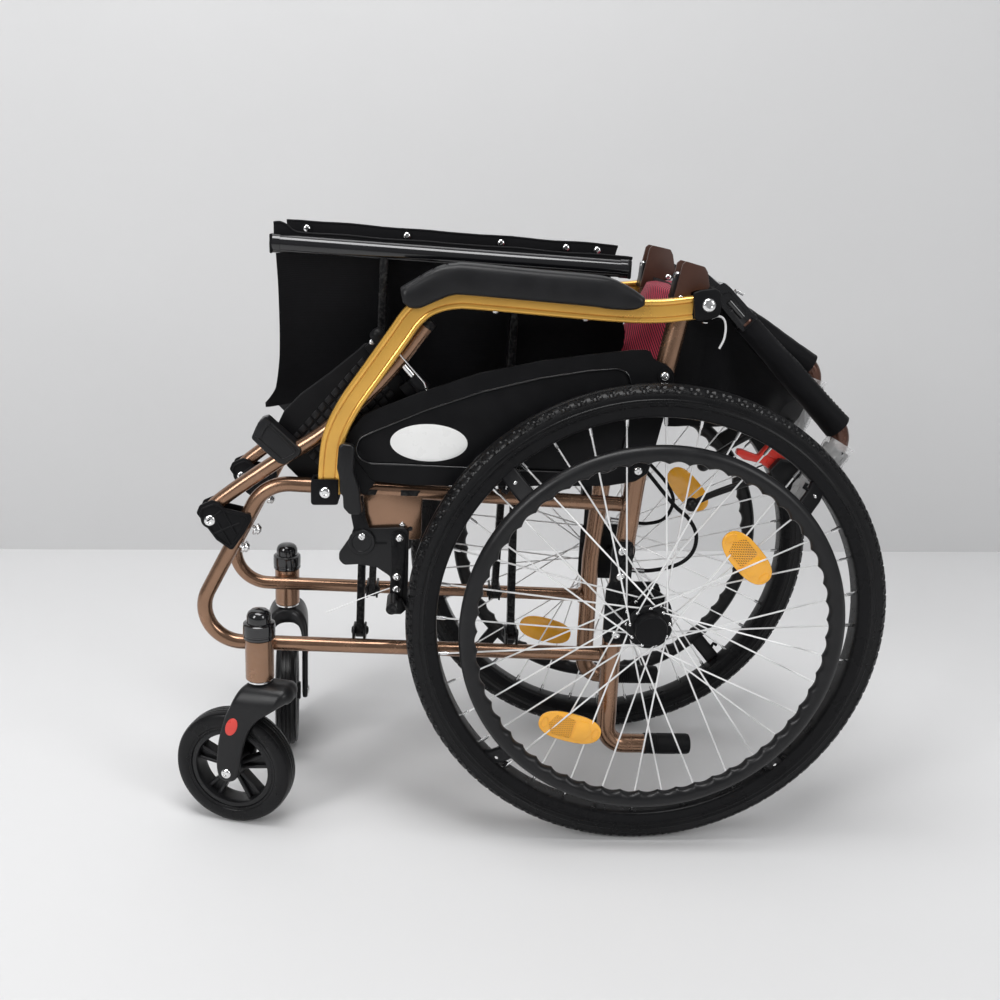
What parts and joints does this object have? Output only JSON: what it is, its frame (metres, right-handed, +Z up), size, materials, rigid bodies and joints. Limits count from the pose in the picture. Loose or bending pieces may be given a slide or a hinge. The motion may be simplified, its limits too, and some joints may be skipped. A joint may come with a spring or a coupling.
{
  "type": "folding wheelchair",
  "caption": "Folding attendant wheelchair with spoked rear wheels, handrims, casters, flip-up armrests, folding footrests and a fold-down backrest, stored folded flat.",
  "frame": {"origin": "on the ground, under the middle of the folded chair's bounding box", "axes": "the chair faces -X, its user's left is -Y, +Z is up"},
  "size_m": [0.9081, 0.4052, 0.7735],
  "materials": {
    "bronze_paint": "metallic bronze paint, satin",
    "black_paint": "black powder coat, satin",
    "black_plastic": "moulded black plastic, fine grain",
    "black_rubber": "smooth black rubber",
    "tyre_rubber": "black tyre rubber",
    "gold_anodised": "gold anodised, glossy",
    "bright_steel": "bright plated steel",
    "black_cloth": "coated black cloth with a slight sheen",
    "red_mesh_cloth": "dark red spacer mesh",
    "red_plastic": "moulded red plastic"
  },
  "bodies": {
    "left_frame": {"side_frame_left": "bronze_paint", "axle_plate_left": "black_paint", "arm_bracket_left": "black_plastic", "tipping_plug_left": "black_rubber", "side_panel_left": "black_plastic", "brake_cable_left": "black_rubber", "back_cloth_lower_left": "black_cloth"},
    "right_frame": {"side_frame_right": "bronze_paint", "axle_plate_right": "black_paint", "arm_bracket_right": "black_plastic", "tipping_plug_right": "black_rubber", "side_panel_right": "black_plastic", "brake_cable_right": "black_rubber", "back_cloth_lower_right": "black_cloth"},
    "brace_a": {"cross_arm_a": "black_paint", "seat_sling": "black_cloth"},
    "brace_b": {"cross_arm_b": "black_paint"},
    "rear_wheel_left": {"tyre_left": "tyre_rubber", "rim_left": "black_paint", "spoked_hub_left": "bright_steel", "hub_cap_left": "black_plastic", "handrim_left": "black_plastic"},
    "caster_swivel_left": {"caster_fork_left": "black_plastic"},
    "caster_roller_left": {"caster_wheel_left": "black_plastic", "caster_tyre_left": "tyre_rubber"},
    "armrest_left": {"arm_tube_left": "gold_anodised", "arm_pad_left": "black_plastic"},
    "footrest_left": {"hanger_left": "bronze_paint", "footplate_clip_left": "black_plastic"},
    "foot_platform_left": {"footplate_left": "black_plastic"},
    "parking_lever_left": {"brake_lever_left": "black_paint"},
    "parking_shoe_left": {"brake_shoe_left": "black_paint"},
    "push_handle_left": {"handle_post_left": "bronze_paint", "push_grip_left": "black_rubber", "back_cloth_upper_left": "black_cloth"},
    "hand_lever_left": {"hand_brake_lever_left": "black_paint"},
    "hand_catch_left": {"hand_brake_lock_left": "red_plastic"},
    "rear_wheel_right": {"tyre_right": "tyre_rubber", "rim_right": "black_paint", "spoked_hub_right": "bright_steel", "hub_cap_right": "black_plastic", "handrim_right": "black_plastic"},
    "caster_swivel_right": {"caster_fork_right": "black_plastic"},
    "caster_roller_right": {"caster_wheel_right": "black_plastic", "caster_tyre_right": "tyre_rubber"},
    "armrest_right": {"arm_tube_right": "gold_anodised", "arm_pad_right": "black_plastic"},
    "footrest_right": {"hanger_right": "bronze_paint", "footplate_clip_right": "black_plastic"},
    "foot_platform_right": {"footplate_right": "black_plastic"},
    "parking_lever_right": {"brake_lever_right": "black_paint"},
    "parking_shoe_right": {"brake_shoe_right": "black_paint"},
    "push_handle_right": {"handle_post_right": "bronze_paint", "push_grip_right": "black_rubber", "back_cloth_upper_right": "black_cloth"},
    "hand_lever_right": {"hand_brake_lever_right": "black_paint"},
    "hand_catch_right": {"hand_brake_lock_right": "red_plastic"},
    "back_centre_upper": {"back_cloth_upper_centre": "red_mesh_cloth"},
    "back_centre_lower": {"back_cloth_lower_centre": "red_mesh_cloth"}
  },
  "joints": [
    {"name": "chair_unfold", "type": "hinge", "parent": "left_frame", "child": "brace_a", "pos_m": [-0.111, -0.074, 0.253], "axis": [-1, 0, 0], "range_deg": [0, 42], "deforming": ["seat_sling"]},
    {"name": "brace_cross", "type": "hinge", "parent": "brace_a", "child": "brace_b", "pos_m": [-0.111, 0, 0.4975], "axis": [-1, 0, 0], "range_deg": [-84, 0]},
    {"name": "right_frame_level", "type": "hinge", "parent": "brace_b", "child": "right_frame", "pos_m": [-0.111, 0.074, 0.253], "axis": [-1, 0, 0], "range_deg": [0, 42]},
    {"name": "rear_wheel_spin_left", "type": "hinge", "parent": "left_frame", "child": "rear_wheel_left", "pos_m": [0.149, -0.1535, 0.305], "axis": [0, 1, 0], "continuous": true},
    {"name": "caster_swivel_turn_left", "type": "hinge", "parent": "left_frame", "child": "caster_swivel_left", "pos_m": [-0.34, -0.13, 0], "axis": [0, 0, 1], "continuous": true},
    {"name": "caster_roll_left", "type": "hinge", "parent": "caster_swivel_left", "child": "caster_roller_left", "pos_m": [-0.37477, -0.12068, 0.0795], "axis": [-0.2588, -0.9659, 0], "continuous": true},
    {"name": "armrest_lift_left", "type": "hinge", "parent": "left_frame", "child": "armrest_left", "pos_m": [0.194, -0.133, 0.701], "axis": [0, 1, 0], "range_deg": [0, 62]},
    {"name": "footrest_swing_left", "type": "hinge", "parent": "left_frame", "child": "footrest_left", "pos_m": [-0.399, -0.108, 0.415], "axis": [0, -1, 0], "range_deg": [0, 195]},
    {"name": "footplate_fold_left", "type": "hinge", "parent": "footrest_left", "child": "foot_platform_left", "pos_m": [-0.169, -0.108, 0.617], "axis": [0.6691, 0, -0.7431], "range_deg": [0, 90]},
    {"name": "parking_lever_turn_left", "type": "hinge", "parent": "left_frame", "child": "parking_lever_left", "pos_m": [-0.213, -0.125, 0.4], "axis": [0, -1, 0], "range_deg": [0, 55]},
    {"name": "parking_shoe_turn_left", "type": "hinge", "parent": "left_frame", "child": "parking_shoe_left", "pos_m": [-0.167, -0.125, 0.395], "axis": [0, -1, 0], "range_deg": [0, 7]},
    {"name": "rear_wheel_spin_right", "type": "hinge", "parent": "right_frame", "child": "rear_wheel_right", "pos_m": [0.149, 0.1535, 0.305], "axis": [0, 1, 0], "continuous": true},
    {"name": "caster_swivel_turn_right", "type": "hinge", "parent": "right_frame", "child": "caster_swivel_right", "pos_m": [-0.34, 0.13, 0], "axis": [0, 0, 1], "continuous": true},
    {"name": "caster_roll_right", "type": "hinge", "parent": "caster_swivel_right", "child": "caster_roller_right", "pos_m": [-0.33642, 0.09418, 0.0795], "axis": [0.9951, 0.0993, 0], "continuous": true},
    {"name": "armrest_lift_right", "type": "hinge", "parent": "right_frame", "child": "armrest_right", "pos_m": [0.194, 0.133, 0.701], "axis": [0, 1, 0], "range_deg": [0, 62]},
    {"name": "footrest_swing_right", "type": "hinge", "parent": "right_frame", "child": "footrest_right", "pos_m": [-0.399, 0.108, 0.415], "axis": [0, -1, 0], "range_deg": [0, 195]},
    {"name": "footplate_fold_right", "type": "hinge", "parent": "footrest_right", "child": "foot_platform_right", "pos_m": [-0.169, 0.108, 0.617], "axis": [-0.6691, 0, 0.7431], "range_deg": [0, 90]},
    {"name": "parking_lever_turn_right", "type": "hinge", "parent": "right_frame", "child": "parking_lever_right", "pos_m": [-0.213, 0.125, 0.4], "axis": [0, -1, 0], "range_deg": [0, 55]},
    {"name": "parking_shoe_turn_right", "type": "hinge", "parent": "right_frame", "child": "parking_shoe_right", "pos_m": [-0.167, 0.125, 0.395], "axis": [0, -1, 0], "range_deg": [0, 7]},
    {"name": "back_fold_left", "type": "hinge", "parent": "left_frame", "child": "push_handle_left", "pos_m": [0.179, 0, 0.734], "axis": [0, -1, 0], "range_deg": [0, 123.6], "deforming": ["back_cloth_lower_left"]},
    {"name": "back_fold_right", "type": "hinge", "parent": "right_frame", "child": "push_handle_right", "pos_m": [0.179, 0, 0.734], "axis": [0, -1, 0], "range_deg": [0, 112], "deforming": ["back_cloth_lower_right"]},
    {"name": "hand_lever_squeeze_left", "type": "hinge", "parent": "push_handle_left", "child": "hand_lever_left", "pos_m": [0.32508, -0.072, 0.48718], "axis": [0, -1, 0], "range_deg": [0, 20], "stiffness_Nm_per_rad": 0.8, "springref_deg": -20.05},
    {"name": "hand_catch_turn_left", "type": "hinge", "parent": "push_handle_left", "child": "hand_catch_left", "pos_m": [0.30625, -0.072, 0.50511], "axis": [0, 1, 0], "range_deg": [0, 25]},
    {"name": "hand_lever_squeeze_right", "type": "hinge", "parent": "push_handle_right", "child": "hand_lever_right", "pos_m": [0.37173, 0.072, 0.52159], "axis": [0, -1, 0], "range_deg": [0, 20], "stiffness_Nm_per_rad": 0.8, "springref_deg": -20.05},
    {"name": "hand_catch_turn_right", "type": "hinge", "parent": "push_handle_right", "child": "hand_catch_right", "pos_m": [0.34968, 0.072, 0.53537], "axis": [0, 1, 0], "range_deg": [0, 25]},
    {"name": "back_centre_slide_upper", "type": "slide", "parent": "push_handle_left", "child": "back_centre_upper", "axis": [0, 1, 0], "range_m": [0, 0.1447]},
    {"name": "back_centre_slide_lower", "type": "slide", "parent": "left_frame", "child": "back_centre_lower", "axis": [0, 1, 0], "range_m": [0, 0.1447]}
  ],
  "couplings": [
    {"joint": "brace_cross", "follows": "chair_unfold", "ratio": -2},
    {"joint": "right_frame_level", "follows": "chair_unfold", "ratio": 1},
    {"joint": "back_centre_slide_upper", "follows": "chair_unfold", "m_per_rad": 0.1973},
    {"joint": "back_centre_slide_lower", "follows": "chair_unfold", "m_per_rad": 0.1973},
    {"joint": "back_fold_right", "follows": "back_fold_left", "ratio": 0.90615},
    {"joint": "footplate_fold_left", "follows": "footrest_swing_left", "ratio": 0.46},
    {"joint": "parking_shoe_turn_left", "follows": "parking_lever_turn_left", "ratio": 0.127},
    {"joint": "footplate_fold_right", "follows": "footrest_swing_right", "ratio": 0.46},
    {"joint": "parking_shoe_turn_right", "follows": "parking_lever_turn_right", "ratio": 0.127}
  ]
}
